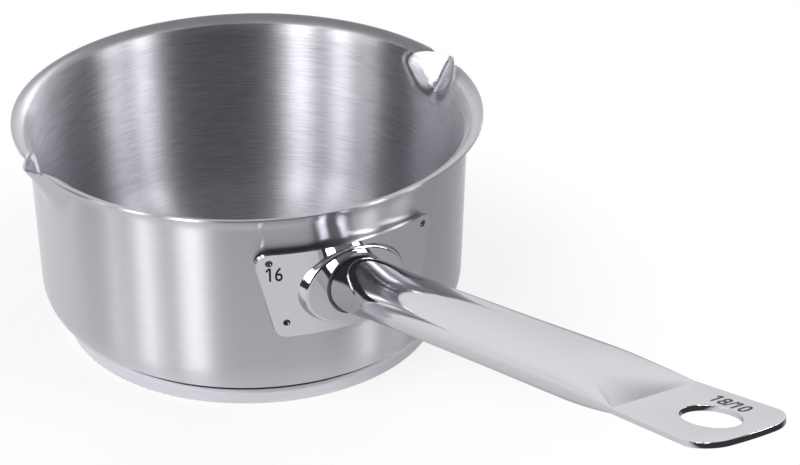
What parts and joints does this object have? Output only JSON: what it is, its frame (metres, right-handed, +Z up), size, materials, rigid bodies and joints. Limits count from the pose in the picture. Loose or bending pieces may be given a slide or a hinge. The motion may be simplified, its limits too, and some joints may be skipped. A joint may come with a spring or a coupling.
{
  "type": "milk pan",
  "caption": "Small stainless steel saucepan with a flared rim, pouring spouts at both sides, a disc heat base and a long hollow handle with a hanging hole.",
  "frame": {"origin": "centre of the heat base's underside, on the surface the pan stands on", "axes": "+Z up along the pan's axis; +X along the handle, away from the pan; the pouring spouts are towards +Y and -Y"},
  "size_m": [0.3965, 0.178, 0.1199],
  "materials": {
    "body_steel": "satin, fine brushing round the pan",
    "base_steel": "satin",
    "polished_steel": "polished",
    "core_aluminium": "as rolled",
    "braze_filler": "as brazed",
    "weld_steel": "as welded"
  },
  "bodies": {
    "root": {"pot_body": "body_steel", "base_cap": "base_steel", "heat_core": "core_aluminium", "upper_braze": "braze_filler", "lower_braze": "braze_filler", "handle_plate": "polished_steel", "spot_welds": "weld_steel", "handle": "polished_steel", "handle_weld": "weld_steel"}
  },
  "joints": []
}
